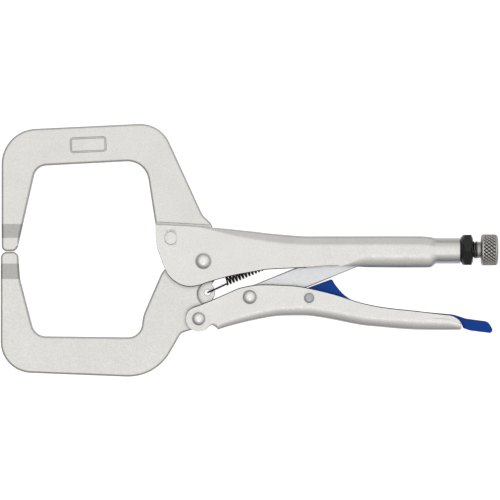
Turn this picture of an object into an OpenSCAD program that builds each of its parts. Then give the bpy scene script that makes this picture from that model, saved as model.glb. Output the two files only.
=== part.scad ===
// Locking pliers with C-clamp jaws, lying on their side.
// +X runs from the jaws to the adjusting knob, +Y from the lower jaw to the upper jaw,
// and +Z along the pivot rivets, away from the surface that the pliers lie on.
// Every outline is drawn with the main pivot at [0, 0] and the mid-plane at z = 0.

/* [Handles] */
// Thickness of the handles' steel sheet
sheet = 2.2; // [2:0.1:2.4]
// Gap between a handle's two walls
channel_gap = 8; // [8:0.1:8.4]
// Outer diameter of the round tube at the upper handle's end
tube_d = 14.4; // [14:0.1:15]
// Width of the slot under the oval part of the upper handle
slot_w = 5.4; // [5:0.1:6]

/* [Jaws] */
// Thickness of the fixed jaw outside the handle
jaw_t = 8.2; // [8.1:0.1:9]
// Thickness of what runs between a handle's walls
tongue_t = 7.8; // [7.4:0.1:7.9]
// Thickness of the jaws' tips
tip_t = 5.6; // [4:0.1:7]
// Thickness of the moving jaw's spring ear
ear_t = 3; // [2:0.1:4]

/* [Rivets] */
// Shank diameter of the main pivot
main_d = 6; // [5:0.1:7]
// Shank diameter of the moving jaw's and the toggle's rivets
rivet_d = 5; // [4:0.1:5.5]
// Shank diameter of the release lever's rivet
lever_d = 3.6; // [3:0.1:4]
// Diameter of the flush rivet in the fixed jaw
flush_d = 7; // [6:0.1:7.5]

/* [Adjusting screw] */
// Outer diameter of the screw's thread
screw_d = 9.8; // [9:0.1:10]
// Diameter of the knob
knob_d = 17.5; // [15:0.1:19]
// Length of the knob
knob_len = 9.5; // [8:0.1:9.5]
// Width of the lock nut across its flats
nut_af = 17; // [16:0.1:19]
// Thickness of the lock nut
nut_t = 6.9; // [5:0.1:7]

/* [Linkage] */
// Thickness of the toggle link
link_t = 4.4; // [3:0.1:4.8]
// Width of the release lever
lever_w = 7; // [6:0.1:7.4]
// Diameter of the spring's wire
wire_d = 1; // [0.8:0.1:1.2]
// Outer diameter of the spring's coil
coil_d = 6; // [5:0.1:6.4]
// Turns of the spring's coil
coil_turns = 20; // [12:1:24]

/* [Hidden] */
$fn = 64;

// Pivots, from the main pivot
jaw_pin = [-2.6, -32.4];
toggle_pin = [26.1, -20.2];
lever_pin = [59.5, -20.7];
flush_pin = [-18.3, 13];
// Where the link's end bears on the screw when the jaws are closed
link_seat = [91.5, 6.3];
spring_eye = [2.3, -17.7];
spring_anchor = [57.2, 5];
// Height of the screw's axis and of the tube around it
screw_y = 6.3;
tube_y = 5.8;
// Stations along the screw: its tip, the tube's two ends, the nut and the knob
screw_tip_x = 99.5;
tube_start_x = 129;
tube_end_x = 144.6;
nut_x = tube_end_x + 0.2;
knob_end_x = 165.9;
knob_x = knob_end_x - knob_len;

// Radial clearance of a pin in the piece that turns on it
running = 0.05;
wall_z = channel_gap / 2;
handle_w = wall_z + sheet;
tube_half_w = tube_d / 2;

// A corner of an outline, [x, y, radius], rounded between its neighbours
function corner(a, b, c) =
    b[2] == 0 ? [[b[0], b[1]]] :
    let (p = [b[0], b[1]], u = unit([a[0], a[1]] - p), v = unit([c[0], c[1]] - p),
         half = acos(u * v) / 2, centre = p + unit(u + v) * b[2] / sin(half),
         from = p + u * b[2] / tan(half) - centre, to = p + v * b[2] / tan(half) - centre,
         a0 = atan2(from[1], from[0]), turn = (atan2(to[1], to[0]) - a0 + 540) % 360 - 180,
         steps = max(2, ceil(abs(turn) / 9)))
    [for (i = [0 : steps]) centre + b[2] * dir(a0 + turn * i / steps)];
function rounded(c) =
    [for (i = [0 : len(c) - 1]) each corner(c[(i + len(c) - 1) % len(c)], c[i], c[(i + 1) % len(c)])];
function unit(v) = v / norm(v);
function dir(a) = [cos(a), sin(a)];
function arc(centre, r, a0, a1, steps, swap = false) =
    [for (i = [0 : steps]) let (p = centre + r * dir(a0 + (a1 - a0) * i / steps))
        swap ? [p[1], p[0]] : p];
// A smooth curve through points [x, value], in order of x
function slope(p, i) =
    let (a = p[max(i - 1, 0)], b = p[min(i + 1, len(p) - 1)]) (b[1] - a[1]) / (b[0] - a[0]);
function span(p, x, i = 0) = i >= len(p) - 2 || x < p[i + 1][0] ? i : span(p, x, i + 1);
function curve(p, x) =
    let (i = span(p, x), a = p[i], b = p[i + 1], h = b[0] - a[0], t = min(max((x - a[0]) / h, 0), 1))
    a[1] * (2 * t ^ 3 - 3 * t ^ 2 + 1) + slope(p, i) * h * (t ^ 3 - 2 * t ^ 2 + t)
    + b[1] * (3 * t ^ 2 - 2 * t ^ 3) + slope(p, i + 1) * h * (t ^ 3 - t ^ 2);
function reverse(v) = [for (i = [len(v) - 1 : -1 : 0]) v[i]];

// Outlines of the jaws
hub_r = 11.5;
hub_gap = 0.7;
fixed_arm = [[-113.6, 5.5, 3], [-113.6, 73.6, 20], [-24.2, 77.8, 18], [-0.5, 26, 6], [4.1, 21.6, 2]];
fixed_throat = [[-27.1, 21.1, 0], [-32.6, 56.7, 12], [-94.2, 53.5, 7.5], [-104.5, 8, 0], [-104.9, 5.5, 3.4]];
fixed_outline = rounded(concat(fixed_arm, [[5.2, 19.3, 0]], fixed_throat));
tongue = concat([[4.6, 20.4], [5, 11]], arc([0, 0], hub_r + hub_gap, 66, 155, 12),
                [[-25.4, 8.6], [-27, 23]]);
moving_arm = [[-104.3, 5.2, 3.4], [-103.4, -9.5, 20], [-94.9, -42.3, 8], [-35.5, -43, 8],
              [-33.9, -30.5, 18], [-23.2, -5.9, 12], [-15.8, 0.6, 5], [-11, 3.4, 0]];
moving_back = [[-12.6, -40.6, 4], [-26.9, -65.7, 27], [-114.1, -62.3, 17.5], [-114.1, 5.2, 3.4]];
lug_r = 7.3;
ear = [0.2, -17.7];
ear_r = 6.3;
moving_outline = concat(rounded(concat([[-6.5, -38.7, 0]], moving_back, moving_arm, [[-6.5, 9.4, 0]])),
                        arc([0, 0], hub_r, 110, -38, 18), arc(ear, ear_r, 45, -35, 10),
                        arc(jaw_pin, lug_r, 20, -122, 14));

mid_x = (min([for (p = moving_outline) p[0]]) + knob_end_x) / 2;
mid_y = (min([for (p = moving_outline) p[1]]) + max([for (p = fixed_outline) p[1]])) / 2;
rest_h = nut_af / 2 / cos(30);

// Moves a piece from the main pivot's frame to the part's own frame
module place() {
    translate([-mid_x, -mid_y, rest_h]) children();
}

module plate(outline, t) {
    linear_extrude(height = t, center = true) polygon(outline);
}

module bore(centre, r) {
    translate([centre[0], centre[1], -20]) cylinder(r = r, h = 40);
}

// What is left of a jaw's tip after its two sides are relieved from one height to another
module tip_relief(full_y, thin_y, end_y, full_t) {
    for (side = [0, 1]) mirror([0, 0, side])
        translate([-120, 0, 0]) rotate([90, 0, 90]) linear_extrude(height = 24)
            polygon([[full_y, full_t / 2], [thin_y, tip_t / 2], [end_y, tip_t / 2],
                     [end_y, full_t], [full_y, full_t]]);
}

module fixed_jaw() {
    place() color([0.85, 0.84, 0.81]) difference() {
        union() {
            plate(fixed_outline, jaw_t);
            plate(tongue, tongue_t);
        }
        tip_relief(20.9, 13, 2, jaw_t);
        bore(flush_pin, flush_d / 2 + running);
        // Blank stamped panel on the upper side
        translate([-64.8, 65.5, jaw_t / 2 - 0.3]) rotate(2.5) linear_extrude(height = 1)
            polygon(rounded([[-10.4, -4.5, 1.6], [10.4, -4.5, 1.6], [10.4, 4.5, 1.6], [-10.4, 4.5, 1.6]]));
    }
}

module moving_jaw() {
    place() color([0.84, 0.83, 0.81]) difference() {
        plate(moving_outline, tongue_t);
        tip_relief(-10.1, -1.4, 9, tongue_t);
        // Round pockets that leave the spring's ear thin
        for (side = [-1, 1]) translate([3.8, -18.5, side * (ear_t / 2 + 5)])
            cylinder(r = 6.7, h = 10, center = true);
        bore([0, 0], main_d / 2 + running);
        bore(jaw_pin, rivet_d / 2 + running);
        bore(spring_eye, 1.8);
    }
}

// One station of a folded channel: points from one wall's rim over the fold to the other wall's.
// s holds x, the fold side's y, the rim's y, the half width, the fold's radius, how far the rim
// curls in (0 to 1) and the height that curls.
fold_steps = 5;
curl_steps = 5;
function inner_r(s) = max(s[4] - sheet, 0.4);
function curl_h(s, depth) = min(s[6], depth - max(s[4], sheet + inner_r(s)) - 0.1);
function half_outer(s, depth) =
    let (w = s[3], r = s[4], k = s[5], h = curl_h(s, depth), g = slot_w / 2) concat(
    [for (i = [curl_steps : -1 : 0]) let (f = i / curl_steps)
        [depth - h + h * (f * (1 - k) + sin(90 * f) * k), w * (1 - k) + k * (g + (w - g) * cos(90 * f))]],
    [for (i = [0 : fold_steps]) let (a = 90 * i / fold_steps) [r - r * sin(a), w - r + r * cos(a)]]);
function half_inner(s, depth) =
    let (w = s[3] - sheet, r = inner_r(s), k = s[5], h = curl_h(s, depth), g = slot_w / 2) concat(
    [for (i = [curl_steps : -1 : 0]) let (f = i / curl_steps)
        [depth - h + h * f * (1 - k) + (h - sheet) * sin(90 * f) * k,
         w * (1 - k) + k * (g + (w - g) * cos(90 * f))]],
    [for (i = [0 : fold_steps]) let (a = 90 * i / fold_steps)
        [sheet + r - r * sin(a), w - r + r * cos(a)]]);
function ring(s) =
    let (depth = abs(s[1] - s[2]), up = sign(s[1] - s[2]),
         outer = half_outer(s, depth), inner = half_inner(s, depth),
         flip = function(v) [for (p = v) [p[0], -p[1]]])
    [for (p = concat(outer, reverse(flip(outer)), flip(inner), reverse(inner)))
        [s[0], s[1] - up * p[0], p[1]]];
module channel(stations) {
    rings = [for (s = stations) ring(s)];
    n = len(rings[0]);
    m = len(rings);
    up = stations[0][1] > stations[0][2];
    sides = [for (i = [0 : m - 2], j = [0 : n - 1]) let (a = i * n + j, b = i * n + (j + 1) % n)
        each [[a, b, b + n], [a, b + n, a + n]]];
    caps = [for (j = [0 : n / 2 - 2]) let (k = n - 1 - j, e = (m - 1) * n)
        each [[j, k - 1, j + 1], [j, k, k - 1], [e + j, e + j + 1, e + k - 1], [e + j, e + k - 1, e + k]]];
    faces = concat(sides, caps);
    polyhedron(points = [for (r = rings) each r], faces = up ? faces : [for (f = faces) reverse(f)]);
}

// Upper handle: its two edges, as [x, y]
upper_top = [[-27, 20.7], [-10, 19.8], [5.5, 18.9], [26.3, 16.9], [38.6, 15.5], [56, 14.1], [64, 14],
             [122, 14], [128, 13.6], [133, 13]];
upper_rim = [[-27, 17], [-26.8, 12.5], [-26.3, 8.5], [-25.2, 5.1], [-21, -5.7], [-18.5, -9.3],
             [-15.2, -12], [-11.8, -13.7], [-7.8, -14.4], [-2.8, -13.8], [2.8, -11.9], [13.9, -8.8],
             [26.3, -6.4], [36, -4.8], [46.5, -4.2], [57, -3.7], [67.5, -2.9], [76.4, -2.6],
             [83.3, -3.1], [92, -3.6], [128, -3.7], [130.7, -3.2], [132.2, -1.8], [132.8, -0.6]];
upper_fold = [[-27, 0.5], [-4, 0.5], [10, 2.9], [21.5, 4.8], [38.6, 5.6], [60, 5.7], [124, 5.7], [133, 6.6]];
upper_x = concat([-27, -26.8, -26.5, -26.1, -25.2, -24, -22.5, -21, -19.5, -18],
                 [for (x = [-16 : 3 : 74]) x], [for (x = [76 : 2 : 96]) x], [106, 116, 124, 127],
                 [129, 130.7, 131.6, 132.2, 132.8]);
function ease(a, b, x) = let (t = min(max((x - a) / (b - a), 0), 1)) t * t * (3 - 2 * t);
function upper_station(x) =
    [x, curve(upper_top, x), curve(upper_rim, x),
     handle_w + (tube_half_w + 0.2 - handle_w) * ease(58, 94, x), curve(upper_fold, x),
     ease(76, 95, x), 0.4 + 7.2 * ease(76, 95, x)];

module upper_handle() {
    place() color([0.84, 0.83, 0.8]) difference() {
        union() {
            channel([for (x = upper_x) upper_station(x)]);
            translate([tube_start_x, tube_y, 0]) rotate([0, 90, 0])
                cylinder(d = tube_d, h = tube_end_x - tube_start_x);
            // Hook for the spring's rear end, staked through the top of the sheet
            translate([spring_anchor[0] - 2.7, 2.2, -1.1]) cube([5.4, 12, 2.2]);
        }
        // The two walls are joined only behind the jaw
        translate([-40, 4, -wall_z - 0.1]) cube([45.5, 40, channel_gap + 0.2]);
        bore([0, 0], main_d / 2 + running);
        bore(flush_pin, flush_d / 2 + running);
        translate([spring_anchor[0], spring_anchor[1], -3]) cylinder(r = 1.6, h = 6);
        translate([120, screw_y, 0]) rotate([0, 90, 0]) cylinder(r = screw_d / 2 + running, h = 30);
    }
}

// Lower handle: its two edges, as [x, y]
lower_rim = [[-9.7, -30.9], [-9.3, -29.5], [-8.3, -27.8], [-6.6, -26.3], [-1.7, -24.5], [5.9, -21.4],
             [15, -17.4], [20.2, -15.2], [27.6, -13.6], [31.3, -13.2], [41.3, -13.3], [51.7, -13.9],
             [58.6, -15], [67.5, -17], [75.4, -19.1], [81.7, -21.2], [88.5, -23.3], [96.8, -25.2],
             [106.3, -26.6], [115.9, -27.6], [125.4, -28.7], [135, -29.8], [140, -30.5],
             [143.2, -32.3], [144.6, -34], [145.2, -35.4]];
lower_fold_y = [[-9.7, -33.9], [-9.3, -35.3], [-8.3, -37], [-6.6, -38.5], [-2.6, -39.7], [1.2, -38.5],
                [3, -37], [4.8, -36.1], [6.5, -36.9], [8.2, -38.6]];
lower_web = [[8.2, -38.6], [15, -36.5], [26.3, -33.7], [37.5, -31.5], [43, -30.9], [52, -30.7],
             [60, -30.9], [71.2, -32.6], [88, -35.9], [99.3, -37.1], [110.6, -38.1], [121.8, -38.7],
             [143.8, -38.7], [145.2, -38.2]];
lower_fold = [[-9.7, 0.3], [2, 0.3], [8.2, 3], [21.5, 4], [50, 4.8], [86, 5.2], [136, 4.4], [145.2, 2.5]];
lower_x = concat([-9.7, -9.3, -8.7, -8, -7, -5.5, -4, -2.6, -1, 0.4, 1.4, 2.2, 3, 3.9, 4.8, 5.7, 6.5, 7.4],
                 [8.2, 10], [for (x = [13 : 4 : 137]) x], [140, 141.7, 143.2, 144, 144.6, 145.2]);
function lower_station(x) =
    let (web = x < 8.2 ? curve(lower_fold_y, x) : curve(lower_web, x), rim = curve(lower_rim, x))
    [x, web, rim, handle_w, curve(lower_fold, x), 0, 0.4];

module lower_handle() {
    place() color([0.83, 0.82, 0.8]) difference() {
        channel([for (x = lower_x) lower_station(x)]);
        translate([-20, -50, -wall_z - 0.1]) cube([28.2, 24, channel_gap + 0.2]);
        bore(jaw_pin, rivet_d / 2 + running);
        bore(toggle_pin, rivet_d / 2 + running);
        bore(lever_pin, lever_d / 2 + running);
    }
}

// Toggle link, drawn along the line from its rivet to its seat on the screw
link_len = norm(link_seat - toggle_pin);
link_angle = atan2(link_seat[1] - toggle_pin[1], link_seat[0] - toggle_pin[0]);
link_hub_r = 5.2;
link_outline = rounded([[-6, -6.6, 6], [12, -7, 20], [link_len + 0.8, -7, 5], [link_len + 2.2, -1.2, 5],
                        [link_len, 5.4, 3.5], [-6, 5.4, 5.5]]);

module toggle_link() {
    place() color([0.82, 0.83, 0.84]) difference() {
        translate([toggle_pin[0], toggle_pin[1], 0]) rotate(link_angle) union() {
            plate(link_outline, link_t);
            cylinder(r = link_hub_r, h = tongue_t, center = true);
        }
        bore(toggle_pin, rivet_d / 2 + running);
    }
}

// Release lever, a channel folded from sheet: walls, and a web along its nose and back
lever_sheet = 1.5;
lever_nose = [[54.6, -17.4, 3], [57.6, -15.5, 3], [72.4, -10.1, 1.2], [74, -13, 8], [81.5, -22.3, 22]];
lever_back = [[105, -26.9, 60], [141, -30.1, 12], [148, -32.4, 12], [160.4, -34, 4], [163, -38.6, 1.6],
              [162, -40.6, 1.2], [150, -39.1, 8], [146.3, -37.8, 0.8], [145.7, -35.7, 0.6]];
lever_keel = [[138, -35.2, 10], [112, -32.6, 30], [84, -27.6, 20], [62, -26, 4], [54.6, -23.2, 4]];
lever_outline = rounded(concat(lever_nose, lever_back, lever_keel));
lever_hollow = rounded([[52, -19.5, 0], [58.4, -17.4, 2], [71.2, -12.6, 1], [80.2, -23.8, 20],
                        [104.6, -28.6, 60], [139, -31.9, 10], [143, -33.4, 0], [136, -42, 0], [52, -42, 0]]);

module release_lever() {
    place() color([0.1, 0.22, 0.58]) difference() {
        plate(lever_outline, lever_w);
        plate(lever_hollow, lever_w - 2 * lever_sheet);
        bore(lever_pin, lever_d / 2 + running);
    }
}

// Adjusting screw, turned: its half section as [radius, along]
knob_front_r = 1.2;
knob_back_r = 1.7;
module adjusting_screw() {
    r = screw_d / 2;
    k = knob_d / 2;
    place() color([0.62, 0.61, 0.58]) translate([0, screw_y, 0]) rotate([90, 0, 90]) rotate_extrude()
        polygon(concat([[0, screw_tip_x], [2.6, screw_tip_x], [r, screw_tip_x + 2.2], [r, knob_x]],
                       arc([knob_x + knob_front_r, k - knob_front_r], knob_front_r, 180, 90, 4, true),
                       arc([knob_end_x - knob_back_r, k - knob_back_r], knob_back_r, 90, 0, 4, true),
                       [[0, knob_end_x]]));
}

module lock_nut() {
    r = nut_af / 2;
    place() color([0.08, 0.08, 0.09]) translate([nut_x, screw_y, 0]) rotate([90, 0, 90]) difference() {
        intersection() {
            rotate(30) cylinder(r = r / cos(30), h = nut_t, $fn = 6);
            rotate_extrude() polygon([[0, 0], [6.8, 0], [r, 1.5], [r + 1.5, 2.8], [r + 1.5, nut_t - 1.5],
                                      [r, nut_t - 0.7], [r - 1.7, nut_t], [0, nut_t]]);
        }
        translate([0, 0, -1]) cylinder(r = screw_d / 2 + running, h = nut_t + 2);
    }
}

// A rivet with a domed head on each side: shank, head radius, height of the rim and of the whole head
module rivet(centre, shank_d, head_r, rim_h, head_h) {
    dome_r = (head_r ^ 2 + (head_h - rim_h) ^ 2) / (2 * (head_h - rim_h));
    top = asin(head_r / dome_r);
    color([0.8, 0.8, 0.79]) translate([centre[0], centre[1], 0]) {
        cylinder(d = shank_d, h = 2 * handle_w, center = true);
        for (side = [0, 1]) mirror([0, 0, side]) translate([0, 0, handle_w]) rotate_extrude()
            polygon(concat([[0, 0], [head_r, 0]],
                           [for (i = [8 : -1 : 0]) [dome_r * sin(top * i / 8),
                                                    head_h - dome_r + dome_r * cos(top * i / 8)]]));
    }
}

module main_pivot_rivet() {
    place() rivet([0, 0], main_d, 4.5, 0.4, 2.5);
}

module jaw_handle_rivet() {
    place() rivet(jaw_pin, rivet_d, 3.75, 0.4, 2.1);
}

module toggle_rivet() {
    place() rivet(toggle_pin, rivet_d, 3.95, 0.4, 2.2);
}

module lever_rivet() {
    place() rivet(lever_pin, lever_d, 2.85, 0.4, 1.1);
}

module jaw_flush_rivet() {
    place() color([0.83, 0.82, 0.79]) translate([flush_pin[0], flush_pin[1], 0])
        cylinder(d = flush_d, h = 2 * handle_w, center = true);
}

// Spring: a wire swept from the ear's eye, around the coil and into the handle's hook.
// The coil's axis runs beside the line between the two ends, so that both legs leave its edge.
coil_r = (coil_d - wire_d) / 2;
spring_axis = unit(spring_anchor - spring_eye);
spring_side = [-spring_axis[1], spring_axis[0]];
spring_len = norm(spring_anchor - spring_eye);
coil_offset = 2.2;
coil_start = 12;
coil_end = spring_len - 9;
coil_phase = 135;
coil_steps = 10;
wire_sides = 6;
function on_spring(along, side, z) =
    let (p = spring_eye + spring_axis * along + spring_side * side) [p[0], p[1], z];
function on_coil(turns) =
    on_spring(coil_start + (coil_end - coil_start) * turns / coil_turns,
              coil_offset + coil_r * cos(coil_phase + 360 * turns), coil_r * sin(coil_phase + 360 * turns));
// A hook through a sheet: the end behind it, the bend, and the leg in front
function hook(at, step) =
    [for (p = [[0.6, -2.6], [0.3, -1], [0.3, 1.2], [1.1, 2.1], [2.6, 2.3]]) on_spring(at + step * p[0], 0, p[1])];
spring_path = concat(hook(0, 1), [on_spring(coil_start - 2, 0.3, 2)],
                     [for (i = [0 : coil_turns * coil_steps]) on_coil(i / coil_steps)],
                     [on_spring(coil_end + 2, 0.3, 2)], reverse(hook(spring_len, -1)));

// A tube swept along a path. Its section is turned from point to point without twist.
module swept(path, r, sides) {
    n = len(path);
    heading = [for (i = [0 : n - 1]) unit(path[min(i + 1, n - 1)] - path[max(i - 1, 0)])];
    // Each section's first direction is the last one, made square to the new heading
    first = unit(cross(heading[0], [0, 0.3, 1]));
    across = [for (i = 0, a = first; i < n; i = i + 1,
                   a = i < n ? unit(a - heading[i] * (a * heading[i])) : a) a];
    points = [for (i = [0 : n - 1]) let (b = cross(heading[i], across[i]))
        each [for (j = [0 : sides - 1]) let (a = 360 * j / sides)
            path[i] + r * (across[i] * cos(a) + b * sin(a))]];
    faces = concat([for (i = [0 : n - 2], j = [0 : sides - 1])
                       let (a = i * sides + j, b = i * sides + (j + 1) % sides)
                       each [[a, b + sides, b], [a, a + sides, b + sides]]],
                   [[for (j = [0 : sides - 1]) j]], [[for (j = [sides - 1 : -1 : 0]) (n - 1) * sides + j]]);
    polyhedron(points = points, faces = faces);
}

module extension_spring() {
    place() color([0.07, 0.07, 0.08]) swept(spring_path, wire_d / 2, wire_sides);
}

fixed_jaw();
jaw_flush_rivet();
moving_jaw();
upper_handle();
lower_handle();
toggle_link();
release_lever();
adjusting_screw();
lock_nut();
main_pivot_rivet();
jaw_handle_rivet();
toggle_rivet();
lever_rivet();
extension_spring();
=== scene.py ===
import math

import bmesh
import bpy
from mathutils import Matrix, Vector


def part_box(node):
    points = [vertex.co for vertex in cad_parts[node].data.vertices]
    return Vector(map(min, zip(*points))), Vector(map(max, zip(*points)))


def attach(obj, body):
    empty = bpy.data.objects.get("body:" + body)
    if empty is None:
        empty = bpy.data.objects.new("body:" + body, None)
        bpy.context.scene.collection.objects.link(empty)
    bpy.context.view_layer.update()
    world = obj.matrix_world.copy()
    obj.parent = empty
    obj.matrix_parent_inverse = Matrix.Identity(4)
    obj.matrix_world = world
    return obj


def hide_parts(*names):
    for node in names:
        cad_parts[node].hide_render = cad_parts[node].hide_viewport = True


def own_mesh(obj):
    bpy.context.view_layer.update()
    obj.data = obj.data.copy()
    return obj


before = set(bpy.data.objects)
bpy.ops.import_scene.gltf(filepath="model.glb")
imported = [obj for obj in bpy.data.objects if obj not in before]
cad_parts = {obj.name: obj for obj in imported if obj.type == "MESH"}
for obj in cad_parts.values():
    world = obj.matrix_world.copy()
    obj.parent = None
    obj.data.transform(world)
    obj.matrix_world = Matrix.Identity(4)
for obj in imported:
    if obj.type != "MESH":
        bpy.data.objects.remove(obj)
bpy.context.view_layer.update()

# Lengths here are millimetres from the main pivot, with z = 0 at the pliers' middle plane.
MM = 0.001
PIVOT = sum(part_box("main_pivot_rivet"), Vector()) / 2


def at(x, y, z=0.0):
    """A point in the frame, in metres, from millimetres at the main pivot."""
    return PIVOT + Vector((x, y, z)) * MM


def centre_of(node):
    """The middle of a CAD node in the plane, in millimetres from the main pivot."""
    middle = (sum(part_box(node), Vector()) / 2 - PIVOT) / MM
    return Vector((middle.x, middle.y))


JAW_PIN = centre_of("jaw_handle_rivet")
TOGGLE_PIN = centre_of("toggle_rivet")
LEVER_PIN = centre_of("lever_rivet")
FLUSH_PIN = centre_of("jaw_flush_rivet")
SCREW_Y = centre_of("adjusting_screw").y
# The handles' sheet, and half the width between and across a handle's walls
SHEET = 2.2
WALL_Z = 4.0
HANDLE_W = WALL_Z + SHEET
# The round tube at the upper handle's end
TUBE_Y = 5.8
TUBE_R = 7.2
# Half the thickness of the fixed jaw, of what runs between a handle's walls, and of the jaws' tips
JAW_HALF = 4.1
TONGUE_HALF = 3.9
TIP_HALF = 2.8
# The jaws' tips lie to the left of this place, and these heights bound their slopes
TIPS_TO = -90
FIXED_SLOPE = (13.0, 20.9)
MOVING_SLOPE = (-10.1, -1.4)
# Where the adjusting screw's thread ends
COLLAR_X = 154.3


# ---------------------------------------------------------------- outlines

def direction(degrees):
    a = math.radians(degrees)
    return Vector((math.cos(a), math.sin(a)))


def arc(centre, r, a0, a1, steps):
    """Points of an arc round a centre, between two angles in degrees."""
    return [Vector(centre) + r * direction(a0 + (a1 - a0) * i / steps) for i in range(steps + 1)]


def corner(a, b, c, r, step=6.0):
    """The arc that rounds corner b, between a and c."""
    u = (a - b).normalized()
    v = (c - b).normalized()
    half = math.acos(max(-1.0, min(1.0, u.dot(v)))) / 2
    centre = b + (u + v).normalized() * r / math.sin(half)
    start = b + u * (r / math.tan(half)) - centre
    end = b + v * (r / math.tan(half)) - centre
    a0 = math.degrees(math.atan2(start.y, start.x))
    turn = (math.degrees(math.atan2(end.y, end.x)) - a0 + 540) % 360 - 180
    return arc(centre, r, a0, a0 + turn, max(2, math.ceil(abs(turn) / step)))


def rounded(corners):
    """An outline from corners (x, y, radius)."""
    points = [Vector(c[:2]) for c in corners]
    outline = []
    for i, c in enumerate(corners):
        if c[2] == 0:
            outline.append(points[i])
        else:
            outline += corner(points[i - 1], points[i], points[(i + 1) % len(points)], c[2])
    return outline


def tidy(outline, longest=3.0):
    """The outline run counter-clockwise, without doubled points, and with its long edges divided."""
    area = sum(a.cross(b) for a, b in zip(outline, outline[1:] + outline[:1]))
    loop = list(outline) if area > 0 else list(reversed(outline))
    loop = [p for i, p in enumerate(loop) if (p - loop[i - 1]).length > 0.02]
    result = []
    for a, b in zip(loop, loop[1:] + loop[:1]):
        parts = max(1, math.ceil((b - a).length / longest))
        result += [a.lerp(b, i / parts) for i in range(parts)]
    return result


def inset(loop, d):
    """A counter-clockwise loop moved inward by d, and the outward direction at each of its points."""
    moved, outward = [], []
    for i, p in enumerate(loop):
        e0 = (p - loop[i - 1]).normalized()
        e1 = (loop[(i + 1) % len(loop)] - p).normalized()
        n0 = Vector((-e0.y, e0.x))
        n1 = Vector((-e1.y, e1.x))
        moved.append(p + (n0 + n1) * (d / max(1 + n0.dot(n1), 0.3)))
        outward.append(-(n0 + n1).normalized())
    return moved, outward


def circle(centre, r, steps=48):
    return [Vector(centre) + r * direction(360 * i / steps) for i in range(steps)]


def slope(p, i):
    """How steep a curve through points is at one of them."""
    a, b = p[max(i - 1, 0)], p[min(i + 1, len(p) - 1)]
    return (b[1] - a[1]) / (b[0] - a[0])


def curve(p, x):
    """The value at x of a smooth curve through points (x, value), in order of x."""
    i = max(0, sum(1 for q in p[1:-1] if q[0] <= x))
    a, b = p[i], p[i + 1]
    h = b[0] - a[0]
    t = min(max((x - a[0]) / h, 0), 1)
    return (a[1] * (2 * t**3 - 3 * t**2 + 1) + slope(p, i) * h * (t**3 - 2 * t**2 + t)
            + b[1] * (3 * t**2 - 2 * t**3) + slope(p, i + 1) * h * (t**3 - t**2))


def ease(a, b, x):
    """Rises smoothly from 0 to 1 as x goes from a to b."""
    t = min(max((x - a) / (b - a), 0), 1)
    return t * t * (3 - 2 * t)


# ---------------------------------------------------------------- meshes

# Edges that turn by more degrees than this are shaded sharp
SHARP_ANGLE = 48


class Shape:
    """Points and faces of one piece, with the direction that each point faces where it is known."""

    def __init__(self):
        self.bm = bmesh.new()
        self.facing = self.bm.verts.layers.float_vector.new("facing")

    def ring(self, points, facing=None):
        verts = [self.bm.verts.new(p) for p in points]
        for v, f in zip(verts, facing or []):
            v[self.facing] = f
        return verts

    def skin(self, rings):
        """Quads between closed rings of the same number of points."""
        for a, b in zip(rings, rings[1:]):
            for i in range(len(a)):
                j = (i + 1) % len(a)
                self.bm.faces.new((a[i], a[j], b[j], b[i]))

    def fan(self, ring, centre, facing=None):
        """Closes a ring with triangles to a middle point."""
        middle = self.ring([centre], [facing] if facing else None)[0]
        for i, v in enumerate(ring):
            self.bm.faces.new((v, ring[(i + 1) % len(ring)], middle))

    def strip(self, ring):
        """Closes the ring of a bent sheet, whose second half runs back beside its first."""
        n = len(ring)
        for i in range(n // 2 - 1):
            self.bm.faces.new((ring[i], ring[i + 1], ring[n - 2 - i], ring[n - 1 - i]))

    def fill(self, *rings):
        """Closes flat rings, one inside another, with triangles."""
        edges = []
        for ring in rings:
            for i, v in enumerate(ring):
                pair = (v, ring[(i + 1) % len(ring)])
                edges.append(self.bm.edges.get(pair) or self.bm.edges.new(pair))
        bmesh.ops.triangle_fill(self.bm, use_beauty=True, edges=edges)

    def mesh(self, name, own_facing=False):
        bmesh.ops.recalc_face_normals(self.bm, faces=self.bm.faces)
        facing = [v[self.facing].normalized() for v in self.bm.verts]
        for v in self.bm.verts:
            v.co = at(*v.co)
        self.bm.verts.layers.float_vector.remove(self.facing)
        for f in self.bm.faces:
            f.smooth = True
        mesh = bpy.data.meshes.new(name)
        self.bm.to_mesh(mesh)
        self.bm.free()
        if own_facing:
            mesh.normals_split_custom_set_from_vertices(facing)
        else:
            mesh.set_sharp_from_angle(angle=math.radians(SHARP_ANGLE))
        return mesh


def add_object(name, mesh):
    thing = bpy.data.objects.new(name, mesh)
    bpy.context.scene.collection.objects.link(thing)
    return thing


def show(thing, node, body, material):
    """Puts a finished piece in place of its CAD node."""
    thing.data.materials.clear()
    thing.data.materials.append(material)
    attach(thing, body)
    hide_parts(node)
    return thing


def add_piece(shape, name, node, body, material, own_facing=False):
    """Makes a shape's object and puts it in place of its CAD node."""
    return show(add_object(name, shape.mesh(name, own_facing)), node, body, material)


# 1 makes a plate's edge round, and more makes it flatter, like a chamfer
EDGE_BOW = 1.35
HOLE_EDGE = 0.4


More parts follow.
